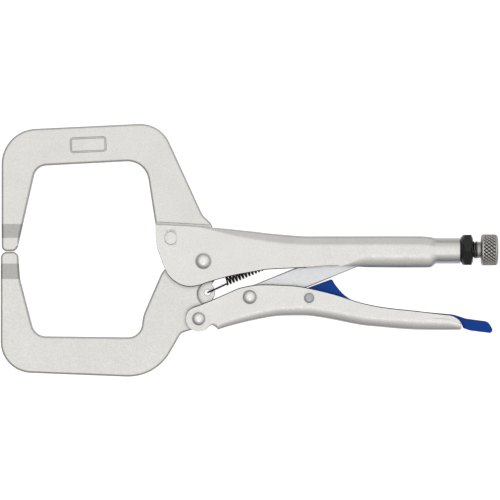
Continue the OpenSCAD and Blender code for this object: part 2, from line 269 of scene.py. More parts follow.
def plate(shape, outline, half, edge_r, holes=(), panel=None, edge_steps=6):
    """A flat plate with rounded edges. holes are (centre, radius), and panel is a loop stamped in its top."""
    loop = tidy(outline)
    steps = [90 * i / edge_steps for i in range(edge_steps + 1)]
    tops, bottoms = [], []
    for source, hole_r in [(loop, edge_r)] + [(h, min(edge_r, HOLE_EDGE)) for h in holes]:
        hollow = source is not loop
        rings = []
        for side, angles in ((1, steps), (-1, reversed(steps))):
            for angle in angles:
                sine = max(math.sin(math.radians(angle)), 0.0)
                cosine = max(math.cos(math.radians(angle)), 0.0)
                across, rise = sine**EDGE_BOW, cosine**EDGE_BOW
                facing = Vector((sine ** (2 - EDGE_BOW), cosine ** (2 - EDGE_BOW))).normalized()
                if hollow:
                    centre, r = Vector(source[0]), source[1] + hole_r * (1 - across)
                    points = circle(centre, r)
                    outward = [(centre - p).normalized() for p in points]
                else:
                    points, outward = inset(loop, hole_r * (1 - across))
                z = side * (half - hole_r * (1 - rise))
                rings.append(shape.ring([(p.x, p.y, z) for p in points],
                                        [(o.x * facing.x, o.y * facing.x, side * facing.y) for o in outward]))
        shape.skin(rings)
        tops.append(rings[0])
        bottoms.append(rings[-1])
    if panel:
        tops.append(stamp(shape, tidy(panel), half))
    shape.fill(*tops)
    shape.fill(*bottoms)


# How far a stamped panel's border steps in, and how deep it is there
STAMP = ((0, 0), (0.12, 0.05), (0.4, 0.5), (0.55, 0.6), (0.8, 0.6), (0.95, 0.5), (1.22, 0.12), (1.4, 0.08))


def stamp(shape, loop, half):
    """A stamped panel: a groove round a slightly sunk field. Returns its outermost ring."""
    rings = []
    for i, (d, depth) in enumerate(STAMP):
        points, outward = inset(loop, d)
        before, after = STAMP[max(i - 1, 0)], STAMP[min(i + 1, len(STAMP) - 1)]
        fall = 0 if i in (0, len(STAMP) - 1) else (after[1] - before[1]) / (after[0] - before[0])
        rings.append(shape.ring([(p.x, p.y, half - depth) for p in points],
                                [Vector((-o.x * fall, -o.y * fall, 1)).normalized() for o in outward]))
    shape.skin(rings)
    shape.fill(rings[-1])
    return rings[0]


def relieve(shape, full_y, thin_y, full_half):
    """Slopes a jaw's two sides down to its thin tip, between two heights."""
    sign = 1 if full_y > thin_y else -1
    soft = 0.5
    lost = full_half - TIP_HALF

    def depth(y):
        """How much each side loses at a height, with soft ends to the slope."""
        t = (full_y - y) / (full_y - thin_y)
        s = soft / abs(full_y - thin_y)
        rise = lambda u: 0 if u < -s else (u if u > s else (u + s) ** 2 / (4 * s))
        return lost * (rise(t) - rise(t - 1))

    for level in (full_y, thin_y):
        for k in range(-3, 4):
            geometry = shape.bm.verts[:] + shape.bm.edges[:] + shape.bm.faces[:]
            bmesh.ops.bisect_plane(shape.bm, geom=geometry, dist=1e-4,
                                   plane_co=(0, level + soft * k / 3, 0), plane_no=(0, 1, 0))
    for v in shape.bm.verts:
        y = v.co.y
        if sign * (y - full_y) > soft or v.co.x > TIPS_TO:
            continue
        near = 0.05
        grade = (depth(y + near) - depth(y - near)) / (2 * near)
        n = v[shape.facing].copy()
        v[shape.facing] = Vector((n.x, n.y + grade * abs(n.z), n.z)).normalized()
        v.co.z -= math.copysign(depth(y), v.co.z)


def turned_rings(shape, rows, axis_point, along_x, steps, radius=None):
    """Rings round an axis. rows are (along, radius), and radius(along, degrees, r) may change the radius."""
    rings = []
    for along, r in rows:
        points = []
        for i in range(steps):
            angle = 360 * i / steps
            d = direction(angle) * (radius(along, angle, r) if radius else r)
            points.append((along, axis_point[0] + d.x, axis_point[1] + d.y) if along_x
                          else (axis_point[0] + d.x, axis_point[1] + d.y, along))
        rings.append(shape.ring(points))
    return rings


def lathe(shape, rows, axis_point, along_x, steps=96, radius=None):
    """A turned piece, closed at both ends."""
    rings = turned_rings(shape, rows, axis_point, along_x, steps, radius)
    shape.skin(rings)
    for ring, row in ((rings[0], rows[0]), (rings[-1], rows[-1])):
        centre = (row[0], *axis_point) if along_x else (*axis_point, row[0])
        shape.fan(ring, centre)


def cut(name, thing, cutters, joined=()):
    """The object after other meshes are added to it and taken from it, as a new object with even shading."""
    used = []
    for operation, meshes in (("UNION", joined), ("DIFFERENCE", cutters)):
        for mesh in meshes:
            other = add_object(f"{name}_tool", mesh)
            step = thing.modifiers.new(operation, "BOOLEAN")
            step.operation = operation
            step.solver = "MANIFOLD"
            step.object = other
            used.append(other)
    even = thing.modifiers.new("normals", "WEIGHTED_NORMAL")
    even.keep_sharp = True
    even.weight = 80
    bpy.context.view_layer.update()
    graph = bpy.context.evaluated_depsgraph_get()
    mesh = bpy.data.meshes.new_from_object(thing.evaluated_get(graph))
    for old in (*used, thing):
        bpy.data.objects.remove(old)
    mesh.name = name
    return add_object(name, mesh)


def box_mesh(low, high):
    shape = Shape()
    x0, y0, z0 = low
    x1, y1, z1 = high
    lower = shape.ring([(x0, y0, z0), (x1, y0, z0), (x1, y1, z0), (x0, y1, z0)])
    upper = shape.ring([(x0, y0, z1), (x1, y0, z1), (x1, y1, z1), (x0, y1, z1)])
    shape.skin([lower, upper])
    shape.bm.faces.new(lower)
    shape.bm.faces.new(upper)
    return shape.mesh("box")


def rod_mesh(centre, r, z0=-20, z1=20, along_x=False, steps=64):
    shape = Shape()
    lathe(shape, [(z0, r), (z1, r)], centre, along_x, steps)
    return shape.mesh("rod")


# ---------------------------------------------------------------- folded sheet

# A station is a channel's cross section at one place: x, the fold's y, the rim's y, the half width, the
# fold's radius, how far the rim is curled in (0 to 1), and the curl's height.
RIM_R = 0.45
CURL_STEPS = 10
WALL_STEPS = 5
# How round the curled rim is: 2 is an ellipse, and less is flatter
CURL_BOW = 1.7


def fold_profile(soft, drop):
    """The fold's profile from the wall to the middle, in fold radii: a bevel with rounded ends."""
    wall, knee, edge, end = (Vector(p) for p in ((1.5, 0), (1 - soft * 0.24, 0), (0.07, drop), (0, 1)))
    return corner(wall, knee, edge, soft, 4.0) + corner(knee, edge, end, 0.3, 8.0) + [end]


UPPER_FOLD_PROFILE = fold_profile(0.65, 0.47)
LOWER_FOLD_PROFILE = fold_profile(1.6, 0.39)


def half_section(station, depth, sheet, slot, inner):
    """One wall of a folded channel, from its rim to the middle of the fold, as (depth, height) pairs."""
    width, fold_r, curl, curl_h = station[3:]
    inner_r = max(fold_r - sheet, 0.4)
    h = min(curl_h, depth - max(fold_r, sheet + inner_r) - 0.1)
    w = width - sheet if inner else width
    r = inner_r if inner else fold_r
    gap = slot / 2
    points = []
    for i in range(CURL_STEPS, -1, -1):
        f = i / CURL_STEPS
        bend = math.sin(math.radians(90 * f))
        reach = (h - sheet if inner else h) * bend * curl
        points.append((depth - h + h * f * (1 - curl) + reach,
                       w * (1 - curl) + curl * (gap + (w - gap) * (1 - bend**CURL_BOW) ** (1 / CURL_BOW))))
    wall_end, fold_start = points[-1][0], (sheet if inner else 0) + r
    for i in range(1, WALL_STEPS):
        points.append((wall_end + (fold_start - wall_end) * i / WALL_STEPS, w))
    base = fold_start - r
    profile = UPPER_FOLD_PROFILE if slot else LOWER_FOLD_PROFILE
    return points + [(base + r * p.x, w - r * p.y) for p in profile]


def rim_corner(end, before, across):
    """A sheet edge's corner, rounded: end is its sharp corner, and across points into the edge."""
    back = (before - end).normalized()
    e = RIM_R
    return [end + back * e, end + back * e * 0.3 + across * e * 0.3, end + across * e]


def section(station, sheet, slot):
    """The closed ring of a folded channel at one station."""
    x, fold_y, rim_y = station[:3]
    depth = abs(fold_y - rim_y)
    up = 1 if fold_y > rim_y else -1
    outer = [Vector(p) for p in half_section(station, depth, sheet, slot, False)]
    inner = [Vector(p) for p in half_section(station, depth, sheet, slot, True)]
    across = (inner[0] - outer[0]).normalized()
    outer = list(reversed(rim_corner(outer[0], outer[1], across))) + outer[1:]
    inner = list(reversed(rim_corner(inner[0], inner[1], -across))) + inner[1:]
    flip = lambda run: [Vector((p.x, -p.y)) for p in run]
    ring = outer + list(reversed(flip(outer))) + flip(inner) + list(reversed(inner))
    return [(x, fold_y - up * p.x, p.y) for p in ring]


# The oval channel becomes round between these two places
NECK_FROM, NECK_TO = 127.3, 132.5
# How far the necked channel stays inside the tube's surface
NECK_SINK = 0.12


def toward_tube(points, sheet):
    """A ring near the handle's end, drawn onto the round tube that follows it."""
    x = points[0][0]
    share = ease(NECK_FROM, NECK_TO, x)
    centre = Vector((TUBE_Y, 0))
    half = len(points) // 2
    moved = []
    for i, p in enumerate(points):
        arm = Vector(p[1:]) - centre
        target = TUBE_R - NECK_SINK - (0 if i < half else sheet)
        moved.append((x, *(centre + arm.lerp(arm.normalized() * target, share))))
    return moved


def channel(shape, stations, sheet, slot=0.0):
    rings = [section(station, sheet, slot) for station in stations]
    if slot:
        rings = [toward_tube(points, sheet) for points in rings]
    rings = [shape.ring(points) for points in rings]
    shape.skin(rings)
    shape.strip(rings[0])
    shape.strip(rings[-1])


def spaced(x0, x1, step):
    """Stations between two places, about a step apart."""
    n = max(1, round((x1 - x0) / step))
    return [x0 + (x1 - x0) * i / n for i in range(n)]


# ---------------------------------------------------------------- materials

def shader(tree, kind, **values):
    """A shader node. A value named like a socket, with _ for a space, sets that socket."""
    made = tree.nodes.new(kind)
    for key, value in values.items():
        if hasattr(made, key):
            setattr(made, key, value)
        else:
            made.inputs[key.replace("_", " ")].default_value = value
    return made


def grain(tree, place, scale, detail=3.0, rough=0.6):
    """Noise at a scale given as features per metre."""
    noise = shader(tree, "ShaderNodeTexNoise", Scale=scale, Detail=detail, Roughness=rough)
    tree.links.new(place, noise.inputs["Vector"])
    return noise.outputs["Fac"]


def ramp(tree, value, low, high, out_low, out_high):
    """The value's range from low to high, mapped to another range."""
    mapped = shader(tree, "ShaderNodeMapRange")
    mapped.inputs["From Min"].default_value = low
    mapped.inputs["From Max"].default_value = high
    mapped.inputs["To Min"].default_value = out_low
    mapped.inputs["To Max"].default_value = out_high
    tree.links.new(value, mapped.inputs["Value"])
    return mapped.outputs["Result"]


def combine(tree, operation, a, b):
    made = shader(tree, "ShaderNodeMath", operation=operation)
    for socket, value in zip(made.inputs, (a, b)):
        if isinstance(value, (int, float)):
            socket.default_value = value
        else:
            tree.links.new(value, socket)
    return made.outputs[0]


def tinted(tree, colour, strength):
    """A colour made lighter or darker by a value."""
    mix = tree.nodes.new("ShaderNodeMix")
    mix.data_type = "RGBA"
    mix.blend_type = "MULTIPLY"
    mix.inputs["Factor"].default_value = 1
    mix.inputs["A"].default_value = (*colour, 1)
    tree.links.new(strength, mix.inputs["B"])
    return mix.outputs["Result"]


# Features per metre of the blasted grain and of the blotches, and the range that the noise mostly keeps to
BLAST_SCALE = 1500
BLOTCH_SCALE = 60
NOISE_LOW, NOISE_HIGH = 0.3, 0.7
# How far the painted shade in crevices reaches
PAINTED_SHADE_REACH = 2.5 * MM


def finish_material(name, colour, metallic, roughness, speckle=0.05, blotch=0.03, blast=0.02,
                    rough_range=0.06, painted_crevice_shade=0.25, specular=0.5, extra=None):
    """A metal or painted surface: blasted grain, faint blotches, painted shade in its crevices and uneven
    gloss.
    """
    material = bpy.data.materials.new(name)
    material.use_nodes = True
    tree = material.node_tree
    surface = tree.nodes["Principled BSDF"]
    place = shader(tree, "ShaderNodeTexCoord").outputs["Object"]
    fine = grain(tree, place, BLAST_SCALE, 2.0, 0.7)
    broad = grain(tree, place, BLOTCH_SCALE, 4.0, 0.55)
    shade = combine(tree, "ADD", ramp(tree, fine, NOISE_LOW, NOISE_HIGH, 1 - speckle, 1 + speckle),
                    ramp(tree, broad, NOISE_LOW, NOISE_HIGH, -blotch, blotch))
    # Ambient occlusion darkens the base colour: painted shade in crevices and between parts
    shadow = shader(tree, "ShaderNodeAmbientOcclusion", samples=6)
    shadow.inputs["Distance"].default_value = PAINTED_SHADE_REACH
    shade = combine(tree, "MULTIPLY", shade,
                    ramp(tree, shadow.outputs["AO"], 0.25, 0.95, 1 - painted_crevice_shade, 1.0))
    if extra:
        shade = combine(tree, "MULTIPLY", shade, extra(tree, place))
    tree.links.new(tinted(tree, colour, shade), surface.inputs["Base Color"])
    surface.inputs["Metallic"].default_value = metallic
    gloss = grain(tree, place, BLAST_SCALE / 3, 3.0, 0.6)
    tree.links.new(ramp(tree, gloss, NOISE_LOW, NOISE_HIGH, roughness - rough_range, roughness + rough_range),
                   surface.inputs["Roughness"])
    surface.inputs["Specular IOR Level"].default_value = specular
    bump = shader(tree, "ShaderNodeBump", Strength=1.0)
    bump.inputs["Distance"].default_value = blast * MM
    tree.links.new(combine(tree, "ADD", fine, combine(tree, "MULTIPLY", broad, 1.5)), bump.inputs["Height"])
    tree.links.new(bump.outputs["Normal"], surface.inputs["Normal"])
    return material


def band(tree, place, edges, inside):
    """1 outside a band of heights and inside's value within it; edges are millimetres from the pivot."""
    parts = shader(tree, "ShaderNodeSeparateXYZ")
    tree.links.new(place, parts.inputs["Vector"])
    low, high = (at(0, y).y for y in edges)
    soft = 0.25 * MM
    enter = ramp(tree, parts.outputs["Y"], low - soft, low + soft, 0, 1)
    leave = ramp(tree, parts.outputs["Y"], high - soft, high + soft, 1, 0)
    tips = ramp(tree, parts.outputs["X"], at(TIPS_TO, 0).x, at(TIPS_TO + 1, 0).x, 1, 0)
    within = combine(tree, "MULTIPLY", combine(tree, "MULTIPLY", enter, leave), tips)
    return ramp(tree, within, 0, 1, 1, inside)


# How bright the screw's thread is, beside its knob
THREAD_SHADE = 0.45


def dark_thread(tree, place):
    """Darker along the screw's thread than on its knob."""
    parts = shader(tree, "ShaderNodeSeparateXYZ")
    tree.links.new(place, parts.inputs["Vector"])
    soft = 0.3
    return ramp(tree, parts.outputs["X"], at(COLLAR_X - soft, 0).x, at(COLLAR_X + soft, 0).x, THREAD_SHADE, 1)


# How bright the tips' slopes are, beside the rest of their jaw: partly their plainer ground finish, partly
# painted shade for their tilt
SLOPE_SHADE = 0.64
JAW_NICKEL = (0.78, 0.762, 0.73)
SHEET_NICKEL = (0.80, 0.785, 0.755)

jaw_upper_metal = finish_material("satin_nickel_fixed_jaw", JAW_NICKEL, 1.0, 0.36, speckle=0.09,
                                  painted_crevice_shade=0.42,
                                  extra=lambda tree, place: band(tree, place, FIXED_SLOPE, SLOPE_SHADE))
jaw_lower_metal = finish_material("satin_nickel_moving_jaw", JAW_NICKEL, 1.0, 0.36, speckle=0.09,
                                  painted_crevice_shade=0.55,
                                  extra=lambda tree, place: band(tree, place, MOVING_SLOPE, SLOPE_SHADE))
sheet_metal = finish_material("satin_nickel_sheet", SHEET_NICKEL, 1.0, 0.34, speckle=0.09, painted_crevice_shade=0.25)
link_metal = finish_material("cool_nickel_link", (0.765, 0.77, 0.775), 1.0, 0.38, speckle=0.07, blotch=0.02)
rivet_metal = finish_material("polished_rivet", (0.86, 0.845, 0.815), 1.0, 0.16, speckle=0.015, blotch=0.03,
                              blast=0.004, rough_range=0.04, painted_crevice_shade=0.5)
lever_rivet_metal = finish_material("steel_rivet", (0.43, 0.46, 0.50), 1.0, 0.25, speckle=0.03, blotch=0.04,
                                    blast=0.008, rough_range=0.05, painted_crevice_shade=0.4)
knob_metal = finish_material("knurled_nickel", (0.60, 0.58, 0.545), 1.0, 0.32, speckle=0.06, painted_crevice_shade=0.85,
                             extra=dark_thread)
nut_metal = finish_material("black_oxide", (0.003, 0.004, 0.0055), 0.0, 0.2, speckle=0.15, blotch=0.12,
                            blast=0.008, painted_crevice_shade=0.2, specular=0.5)
spring_metal = finish_material("black_spring_wire", (0.010, 0.010, 0.011), 0.0, 0.34, speckle=0.1,
                               blast=0.006, painted_crevice_shade=0.3, specular=0.4)
lever_paint = finish_material("blue_coating", (0.005, 0.056, 0.325), 0.0, 0.5, speckle=0.05, blotch=0.06,
                              blast=0.012, painted_crevice_shade=0.15, specular=0.14)


# ---------------------------------------------------------------- jaws

JAW_EDGE = 1.3
# Outlines are corners (x, y, radius), from the tip round the outside and back along the throat
fixed_outline = [(-113.6, 5.5, 3), (-113.6, 73.6, 20), (-24.2, 77.8, 18), (-0.5, 26, 6), (4.1, 21.6, 2),
                 (5.2, 19.3, 0), (-27.1, 21.1, 0), (-32.6, 56.7, 12), (-94.2, 53.5, 7.5),
                 (-104.5, 8, 0), (-104.9, 5.5, 3.4)]
PANEL_AT = Vector((-64.8, 65.5))
PANEL_HALF = Vector((10.4, 4.5))
PANEL_TURN = 2.5
PANEL_CORNER = 2.0
HUB_R = 11.5


def panel_loop():
    corners = rounded([(x * PANEL_HALF.x, y * PANEL_HALF.y, PANEL_CORNER)
                       for x, y in ((-1, -1), (1, -1), (1, 1), (-1, 1))])
    along = direction(PANEL_TURN)
    up = Vector((-along.y, along.x))
    return [PANEL_AT + along * p.x + up * p.y for p in corners]


def make_fixed_jaw():
    shape = Shape()
    plate(shape, rounded(fixed_outline), JAW_HALF, JAW_EDGE, panel=panel_loop())
    relieve(shape, FIXED_SLOPE[1], FIXED_SLOPE[0], JAW_HALF)
    tongue = ([Vector((4.6, 20.4)), Vector((4.9, 11))] + arc((0, 0), HUB_R + 0.7, 66, 155, 24)
              + [Vector((-25.3, 8.6)), Vector((-26.9, 23))])
    plate(shape, tongue, TONGUE_HALF, 0.4)
    add_piece(shape, "fixed_jaw_body", "fixed_jaw", "upper_body", jaw_upper_metal,
              own_facing=True)


# From the handle's lug round the outside to the tip, and along the throat to the hub
moving_outline = [(-6.5, -38.7, 0), (-12.6, -40.6, 4), (-26.9, -65.7, 27), (-114.1, -62.3, 17.5),
                  (-114.1, 5.2, 3.4), (-104.3, 5.2, 3.4), (-103.4, -9.5, 20), (-94.9, -42.3, 8),
                  (-35.5, -43, 8), (-33.9, -30.5, 18), (-23.2, -5.9, 12), (-15.8, 0.6, 5),
                  (-11, 3.4, 0), (-6.5, 9.4, 0)]
LUG_R = 7.3
EAR = Vector((0.2, -17.7))
EAR_R = 6.3
EAR_HALF = 1.5
EYE = Vector((2.3, -17.7))
EYE_R = 1.8
POCKET = Vector((3.8, -18.5))
POCKET_R = 6.7


def make_moving_jaw():
    shape = Shape()
    outline = (rounded(moving_outline) + arc((0, 0), HUB_R, 110, -38, 30) + arc(POCKET, POCKET_R, 75, 279, 36)
               + arc(JAW_PIN, LUG_R, 20, -122, 24))
    plate(shape, outline, TONGUE_HALF, JAW_EDGE)
    relieve(shape, MOVING_SLOPE[0], MOVING_SLOPE[1], TONGUE_HALF)
    ear = ([Vector((-4.5, -10.5)), Vector((-4.5, -27)), Vector((4.0, -27))]
           + arc(EAR, EAR_R, -35, 45, 20) + [Vector((6.2, -10.8))])
    plate(shape, ear, EAR_HALF, 0.3, holes=[(EYE, EYE_R)])
    add_piece(shape, "moving_jaw_body", "moving_jaw", "jaw_body", jaw_lower_metal,
              own_facing=True)


# ---------------------------------------------------------------- handles

upper_top = [(-27, 20.7), (-10, 19.8), (5.5, 18.9), (26.3, 16.9), (38.6, 15.5), (56, 14.1), (64, 14),
             (122, 14), (128, 13.6), (133, 13)]
upper_rim = [(-27, 17), (-26.8, 12.5), (-26.3, 8.5), (-25.2, 5.1), (-21, -5.7), (-18.5, -9.3),
             (-15.2, -12), (-11.8, -13.7), (-7.8, -14.4), (-2.8, -13.8), (2.8, -11.9), (13.9, -8.8),
             (26.3, -6.4), (36, -4.8), (46.5, -4.2), (57, -3.7), (67.5, -2.9), (76.4, -2.6),
             (83.3, -3.1), (92, -3.6), (128, -3.7), (130.7, -3.2), (132.2, -1.8), (132.8, -0.6)]
upper_fold = [(-27, 0.5), (-4, 0.5), (10, 2.9), (21.5, 4.8), (38.6, 5.9), (60, 6.0), (124, 6.0), (133, 6.6)]
SLOT_W = 5.4
# The channel widens, and its walls curl in under the screw, between these places
WIDEN_FROM, WIDEN_TO = 58, 94
CURL_FROM, CURL_TO = 76, 95
WIDEST = TUBE_R + 0.2
# A rim's height with no curl, and how much a full curl adds to it
CURL_MIN = 0.4
CURL_RISE = 8.2
# Radii of the flush rivet, of its bore, and of the bore for the screw
FLUSH_R = 3.5
FLUSH_BORE_R = FLUSH_R + 0.02
SCREW_BORE_R = 5.1
TUBE_FROM = 129.0
TUBE_TO = 144.6


def upper_station(x):
    width = HANDLE_W + (WIDEST - HANDLE_W) * ease(WIDEN_FROM, WIDEN_TO, x)
    curl = ease(CURL_FROM, CURL_TO, x)
    return (x, curve(upper_top, x), curve(upper_rim, x), width, curve(upper_fold, x), curl,
            CURL_MIN + CURL_RISE * curl)


def make_upper_handle():
    shape = Shape()
    places = ([-27, -26.9, -26.8, -26.65, -26.5, -26.3, -26.0, -25.6] + spaced(-25.2, -14, 0.7)
              + spaced(-14, 100, 1.5) + spaced(100, 122, 4) + spaced(122, 129, 1)
              + [129, 129.6, 130.2, 130.7, 131.1, 131.5, 131.8, 132.1, 132.3, 132.5, 132.65, 132.8])
    channel(shape, [upper_station(x) for x in places], SHEET, SLOT_W)
    thing = add_object("upper", shape.mesh("upper"))
    tube = Shape()
    round_r = 0.5
    rows = [(TUBE_FROM, TUBE_R)] + [(x, TUBE_R) for x in spaced(TUBE_FROM + 1, TUBE_TO - 1, 2)]
    rows += [(TUBE_TO - round_r + round_r * math.sin(a), TUBE_R - round_r + round_r * math.cos(a))
             for a in (math.radians(18 * i) for i in range(6))]
    lathe(tube, rows, (TUBE_Y, 0), True, 96)
    web_gap = box_mesh((-40, 4, -WALL_Z - 0.1), (5.5, 44, WALL_Z + 0.1))
    flush_bore = rod_mesh(FLUSH_PIN, FLUSH_BORE_R)
    screw_bore = rod_mesh((SCREW_Y, 0), SCREW_BORE_R, 120, 150, along_x=True)
    thing = cut("upper_handle_shell", thing, [web_gap, flush_bore, screw_bore], joined=[tube.mesh("tube")])
    show(thing, "upper_handle", "upper_body", sheet_metal)


lower_rim = [(-9.7, -30.9), (-9.3, -29.5), (-8.3, -27.8), (-6.6, -26.3), (-1.7, -24.5), (5.9, -21.4),
             (15, -17.4), (20.2, -15.2), (27.6, -13.6), (31.3, -13.2), (41.3, -13.3), (51.7, -13.9),
             (58.6, -15), (67.5, -17), (75.4, -19.1), (81.7, -21.2), (88.5, -23.3), (96.8, -25.2),
             (106.3, -26.6), (115.9, -27.6), (125.4, -28.7), (135, -29.8), (140, -30.5),
             (143.2, -32.3), (144.6, -34), (145.2, -35.4)]
lower_front = [(-9.7, -33.9), (-9.3, -35.3), (-8.3, -37), (-6.6, -38.5), (-2.6, -39.7), (1.2, -38.5),
               (3, -37), (4.8, -36.1), (6.5, -36.9), (8.2, -38.6)]
lower_web = [(8.2, -38.6), (15, -36.5), (26.3, -33.7), (37.5, -31.5), (43, -30.9), (52, -30.7),
             (60, -30.9), (71.2, -32.6), (88, -35.9), (99.3, -37.1), (110.6, -38.1), (121.8, -38.7),
             (143.8, -38.7), (145.2, -38.2)]
lower_fold = [(-9.7, 0.3), (2, 0.3), (8.2, 3.2), (21.5, 4.4), (50, 5.6), (86, 5.9), (136, 5.6), (145.2, 3)]
WEB_FROM = 8.2


def lower_station(x):
    web = curve(lower_front if x < WEB_FROM else lower_web, x)
    return (x, web, curve(lower_rim, x), HANDLE_W, curve(lower_fold, x), 0, CURL_MIN)


def make_lower_handle():
    shape = Shape()
    places = ([-9.7, -9.6, -9.45, -9.3, -9.0, -8.7, -8.3] + spaced(-8, 8.2, 0.6) + spaced(8.2, 140, 1.6)
              + spaced(140, 144, 0.5) + [144, 144.3, 144.6, 144.8, 145, 145.12, 145.2])
    channel(shape, [lower_station(x) for x in places], SHEET)
    thing = add_object("lower", shape.mesh("lower"))
    web_gap = box_mesh((-20, -50, -WALL_Z - 0.1), (WEB_FROM, -26, WALL_Z + 0.1))
    thing = cut("lower_handle_shell", thing, [web_gap])
    show(thing, "lower_handle", "lower_handle_body", sheet_metal)


# ---------------------------------------------------------------- linkage

LINK_SEAT = Vector((91.5, 6.3))
LINK_HALF = 2.2


def make_link():
    along = (LINK_SEAT - TOGGLE_PIN).normalized()
    up = Vector((-along.y, along.x))
    length = (LINK_SEAT - TOGGLE_PIN).length
    corners = rounded([(-6, -6.6, 6), (12, -7, 20), (length + 0.8, -7, 5), (length + 2.2, -1.2, 5),
                       (length, 5.4, 3.5), (-6, 5.4, 5.5)])
    place = lambda run: [TOGGLE_PIN + along * p.x + up * p.y for p in run]
    shape = Shape()
    plate(shape, place(corners), LINK_HALF, 0.55)
    hub = arc((0, 0), 5.2, 0, 354, 59)
    plate(shape, place(hub), TONGUE_HALF, 0.3)
    add_piece(shape, "toggle_link_plate", "toggle_link", "link_body", link_metal,
              own_facing=True)


LEVER_HALF = 3.5
LEVER_EDGE = 1.1
lever_outline = [(54.6, -17.4, 0), (57.6, -15.5, 3), (72.4, -10.1, 1.2), (74, -13, 8), (81.5, -22.3, 22),
              (105, -26.9, 60), (141, -30.1, 12), (148, -32.4, 12), (160.4, -34, 4), (163, -38.6, 1.8),
              (162, -40.6, 1.4), (150, -39.1, 8), (146.3, -37.8, 1.3), (145.7, -35.7, 0.6),
              (138, -35.2, 10), (112, -32.6, 30), (84, -27.6, 20), (62, -26, 4), (54.6, -23.2, 4)]


def make_lever():
    shape = Shape()
    plate(shape, rounded(lever_outline), LEVER_HALF, LEVER_EDGE, edge_steps=8)
    add_piece(shape, "release_lever_body", "release_lever", "lever_body", lever_paint,
              own_facing=True)


# ---------------------------------------------------------------- rivets

# A domed head's height at its rim
HEAD_RIM = 0.4


def make_rivet(node_name, body, centre, shank_r, head_r, head_h, material):
    """A rivet with a domed head on each side."""
    steps = 20
    dome = [(HANDLE_W + head_h - (head_h - HEAD_RIM) * (i / steps) ** 3, head_r * i / steps)
            for i in range(1, steps)]
    edge = [(HANDLE_W + HEAD_RIM, head_r), (HANDLE_W + 0.1, head_r),
            (HANDLE_W, head_r - 0.08), (HANDLE_W, shank_r)]
    upper = [(HANDLE_W + head_h, 0.02)] + dome + edge
    rows = upper + [(-z, r) for z, r in reversed(upper)]
    shape = Shape()
    lathe(shape, rows, centre, False, 72)
    add_piece(shape, f"{node_name}_head", node_name, body, material)


# Node, body, centre, radii of the shank and the head, the head's height in its middle, and material
RIVETS = (("main_pivot_rivet", "upper_body", (0, 0), 3.0, 4.5, 2.5, rivet_metal),
          ("jaw_handle_rivet", "lower_handle_body", JAW_PIN, 2.5, 3.75, 2.1, rivet_metal),
          ("toggle_rivet", "lower_handle_body", TOGGLE_PIN, 2.5, 3.95, 2.2, rivet_metal),
          ("lever_rivet", "lower_handle_body", LEVER_PIN, 1.8, 2.85, 1.1, lever_rivet_metal))


def make_flush_rivet():
    shape = Shape()
    r = FLUSH_R
    top = HANDLE_W
    upper = [(top, 0.02), (top, r - 0.14), (top - 0.03, r - 0.05), (top - 0.12, r)]
    lathe(shape, upper + [(-z, q) for z, q in reversed(upper)], FLUSH_PIN, False, 72)
    add_piece(shape, "flush_rivet_pin", "jaw_flush_rivet", "upper_body", sheet_metal)


# ---------------------------------------------------------------- screw, nut and knob

PITCH = 1.5
THREAD_R = 4.9
THREAD_DEPTH = 0.75
SCREW_TIP_X = 99.5
KNOB_X = 156.4
KNOB_END_X = 165.9
KNOB_R = 8.75
KNURL_ROWS = 26


def thread(x, angle, r):
    """The screw's radius: a V thread that runs out at its tip and at the collar."""
    if x < SCREW_TIP_X + 0.1 or x > COLLAR_X:
        return r
    t = (x / PITCH - angle / 360) % 1
    crest = ease(0.12, 0.88, 1 - abs(2 * t - 1))
    return min(r, THREAD_R - THREAD_DEPTH * (1 - crest) * ease(COLLAR_X, COLLAR_X - 1.5, x))


def knurl(x, angle, r):
    """The knob's radius: two crossed sets of grooves between plain edges."""
    edge = 1.1
    if r < KNOB_R - 0.01:
        return r
    plain = ease(KNOB_X + edge, KNOB_X + edge + 0.5, x) * ease(KNOB_END_X - 1.0, KNOB_END_X - 1.5, x)
    turn = angle / 360 * KNURL_ROWS
    slide = (x - KNOB_X) / (2 * math.pi * KNOB_R / KNURL_ROWS)
    down = abs(math.sin(math.pi * (turn - slide * 0.9)))
    over = abs(math.sin(math.pi * (turn + slide * 0.6)))
    return r - plain * (0.75 * (1 - min(1, down * 1.35)) + 0.5 * (1 - min(1, over * 1.6)))


def make_screw():
    rows = [(SCREW_TIP_X, 0.02), (SCREW_TIP_X, 2.6), (SCREW_TIP_X + 2.2, THREAD_R)]
    rows += [(x, THREAD_R) for x in spaced(SCREW_TIP_X + 2.4, COLLAR_X, PITCH / 8)]
    rows += [(COLLAR_X, 4.55), (KNOB_X - 0.5, 4.55), (KNOB_X - 0.15, 4.7), (KNOB_X, 5.1)]
    front, back = 1.2, 1.7
    rows += [(KNOB_X + front - front * math.cos(a), KNOB_R - front + front * math.sin(a))
             for a in (math.radians(15 * i) for i in range(7))]
    rows += [(x, KNOB_R) for x in spaced(KNOB_X + front + 0.1, KNOB_END_X - back, 0.12)]
    rows += [(KNOB_END_X - back + back * math.sin(a), KNOB_R - back + back * math.cos(a))
             for a in (math.radians(15 * i) for i in range(7))]
    rows += [(KNOB_END_X, 5.0), (KNOB_END_X - 0.25, 4.6), (KNOB_END_X - 0.25, 0.02)]
    shape = Shape()
    lathe(shape, rows, (SCREW_Y, 0), True, KNURL_ROWS * 14, lambda x, a, r: knurl(x, a, thread(x, a, r)))
    add_piece(shape, "adjusting_screw_turned", "adjusting_screw", "screw_body",
              knob_metal)


NUT_X = 144.8
NUT_T = 6.9
NUT_R = 8.5
# Radii under this belong to the nut's bore
BORE_MAX_R = 6.5


def hexagon(x, angle, r):
    """The nut's radius at an angle, from its flats and slightly rounded corners. Its bore stays round."""
    if r < BORE_MAX_R:
        return r
    off = (angle - 30) % 60 - 30
    flat = NUT_R / math.cos(math.radians(off))
    limit = NUT_R / math.cos(math.radians(30)) - 0.18
    blend = 0.12
    gap = (flat - limit) / blend
    soft_min = limit - blend * math.log1p(math.exp(-gap)) if gap > -30 else flat
    return min(r, min(flat, soft_min + blend * 0.7))


